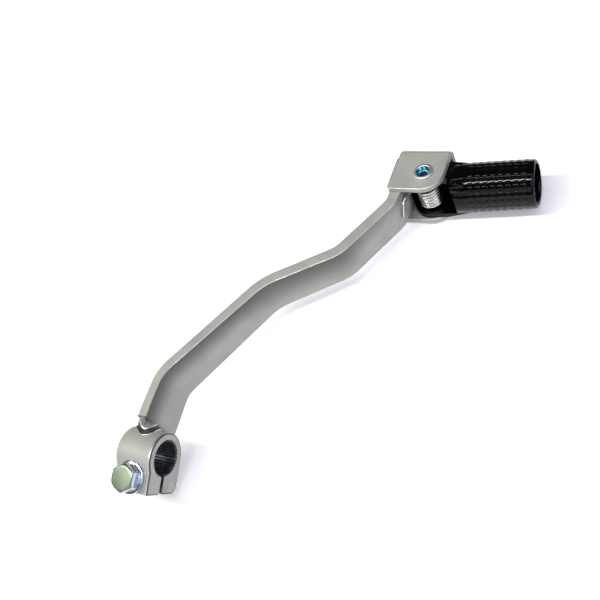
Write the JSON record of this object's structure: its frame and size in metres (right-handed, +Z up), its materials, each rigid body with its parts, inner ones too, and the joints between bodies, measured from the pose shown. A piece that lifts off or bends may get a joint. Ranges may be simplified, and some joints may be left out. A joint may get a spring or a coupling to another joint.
{
  "type": "folding gear lever",
  "caption": "Left-side motorbike gear shift lever: bent flat-bar arm on a slotted serrated clamp boss, with a sprung fold-back foot peg in a welded bracket.",
  "frame": {"origin": "centre of the serrated bore, at the middle of the boss's width", "axes": "+Y along the shaft axis, out of the bore towards the engine; +X from the bore towards the folding peg's end of the lever; +Z up as the lever lies; the peg reaches out along -Y"},
  "size_m": [0.1742, 0.129, 0.0288],
  "materials": {
    "silver_paint": "satin silver paint",
    "black_paint": "gloss black coating",
    "zinc": "bright zinc plate with a blue and green tint",
    "spring_steel": "bright spring wire"
  },
  "bodies": {
    "lever": {"clamp_boss": "silver_paint", "lever_arm": "silver_paint", "tip_bracket": "silver_paint", "boss_weld": "silver_paint", "bracket_weld": "silver_paint", "pinch_bolt": "zinc", "lock_washer": "zinc", "plain_washer": "zinc", "pivot_pin": "zinc", "pivot_sleeve": "zinc", "return_spring": "spring_steel"},
    "tip": {"folding_tip": "black_paint"}
  },
  "joints": [
    {"name": "peg_fold", "type": "hinge", "parent": "lever", "child": "tip", "pos_m": [0.1406, -0.075, -0.0052], "axis": [0, 0, -1], "range_deg": [0, 80], "stiffness_Nm_per_rad": 0.25, "springref_deg": -68.75, "deforming": ["return_spring"]}
  ]
}
